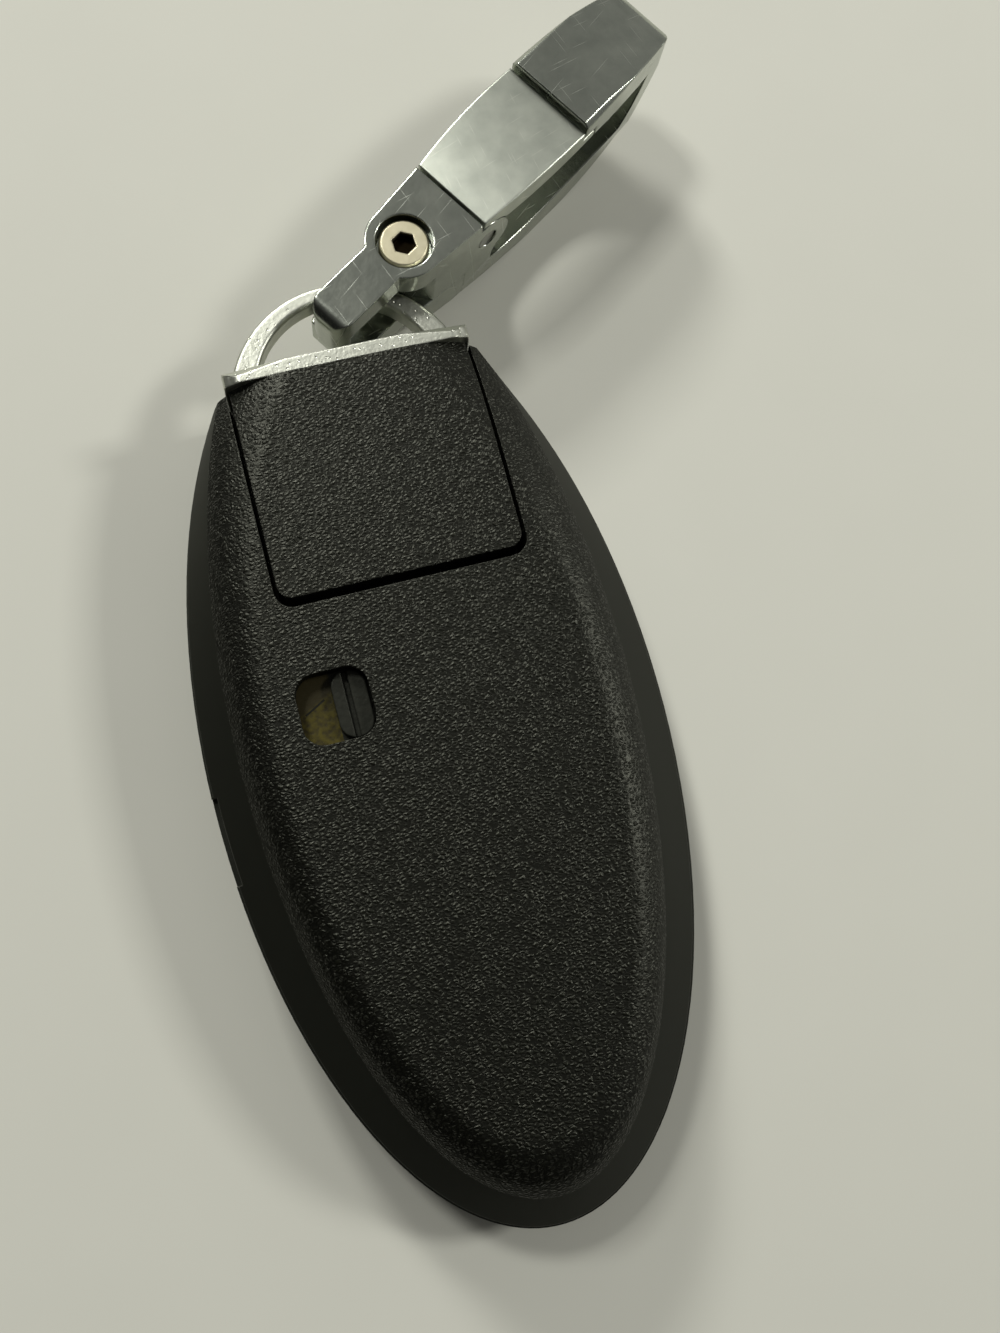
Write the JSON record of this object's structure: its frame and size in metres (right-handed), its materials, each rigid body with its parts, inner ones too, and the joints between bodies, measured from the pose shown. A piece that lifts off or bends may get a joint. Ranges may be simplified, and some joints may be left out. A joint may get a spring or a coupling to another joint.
{
  "type": "key fob",
  "caption": "Oval smart key fob, back up, with thumb latch, pull-out emergency key, ring bail and a sprung snap clip shackled to it.",
  "frame": {"origin": "on the flat button face that the fob rests on, below the middle of the case between two buttons", "axes": "+Z out of the grained back, +Y along the case towards the ring end, +X to the right seen from the back"},
  "size_m": [0.0589, 0.1086, 0.0144],
  "materials": {
    "grained_abs": "charcoal black, fine moulded grain",
    "satin_abs": "black, satin",
    "latch_plastic": "dark, dusty",
    "button_rubber": "soft touch",
    "silicone": "matte",
    "board": "solder mask",
    "chip": "moulded epoxy",
    "switch": "moulded",
    "ferrite": "sintered",
    "bright_metal": "nickel plated",
    "spring_steel": "drawn wire",
    "blade_steel": "milled",
    "cast_zinc": "plated casting, worn",
    "satin_zinc": "satin, scratched",
    "screw_steel": "tarnished"
  },
  "bodies": {
    "case": {"rear_shell": "grained_abs", "front_shell": "satin_abs", "circuit_board": "board", "button_membrane": "silicone", "control_chip": "chip", "radio_chip": "chip", "crystal": "bright_metal", "antenna_coil": "ferrite", "coin_cell": "bright_metal", "cell_contact_positive": "bright_metal", "cell_contact_negative": "bright_metal", "latch_spring": "spring_steel", "lock_switch": "switch", "unlock_switch": "switch", "trunk_switch": "switch", "panic_switch": "switch"},
    "emergency_key": {"key_head": "grained_abs", "key_blade": "blade_steel", "bail": "cast_zinc"},
    "clip": {"hook_body": "cast_zinc", "shackle_jaw": "cast_zinc", "shackle_screw": "screw_steel", "gate_pin": "spring_steel", "gate_spring": "spring_steel"},
    "gate": {"gate": "satin_zinc"},
    "latch": {"latch_slider": "latch_plastic"},
    "lock_button": {"lock_button": "button_rubber"},
    "unlock_button": {"unlock_button": "button_rubber"},
    "trunk_button": {"trunk_button": "button_rubber"},
    "panic_button": {"panic_button": "button_rubber"}
  },
  "joints": [
    {"name": "key_pull", "type": "slide", "parent": "case", "child": "emergency_key", "axis": [0, 1, 0], "range_m": [0, 0.06]},
    {"name": "clip_swing", "type": "hinge", "parent": "emergency_key", "child": "clip", "pos_m": [0.00398, 0.04623, 0.00845], "axis": [0.9139, -0.4059, 0], "range_deg": [-60, 75]},
    {"name": "gate_swing", "type": "hinge", "parent": "clip", "child": "gate", "pos_m": [0.01373, 0.05259, 0.0098], "axis": [-0.5461, 0.8377, 0], "range_deg": [0, 28], "stiffness_Nm_per_rad": 0.02, "springref_deg": -22.92, "deforming": ["gate_spring"]},
    {"name": "latch_slide", "type": "slide", "parent": "case", "child": "latch", "axis": [-1, 0, 0], "range_m": [0, 0.0026], "stiffness_N_per_m": 200, "springref_m": -0.002, "deforming": ["latch_spring"]},
    {"name": "lock_press", "type": "slide", "parent": "case", "child": "lock_button", "axis": [0, 0, 1], "range_m": [0, 0.0004], "stiffness_N_per_m": 3000, "springref_m": -0.0002},
    {"name": "unlock_press", "type": "slide", "parent": "case", "child": "unlock_button", "axis": [0, 0, 1], "range_m": [0, 0.0004], "stiffness_N_per_m": 3000, "springref_m": -0.0002},
    {"name": "trunk_press", "type": "slide", "parent": "case", "child": "trunk_button", "axis": [0, 0, 1], "range_m": [0, 0.0004], "stiffness_N_per_m": 3000, "springref_m": -0.0002},
    {"name": "panic_press", "type": "slide", "parent": "case", "child": "panic_button", "axis": [0, 0, 1], "range_m": [0, 0.0004], "stiffness_N_per_m": 3000, "springref_m": -0.0002}
  ]
}
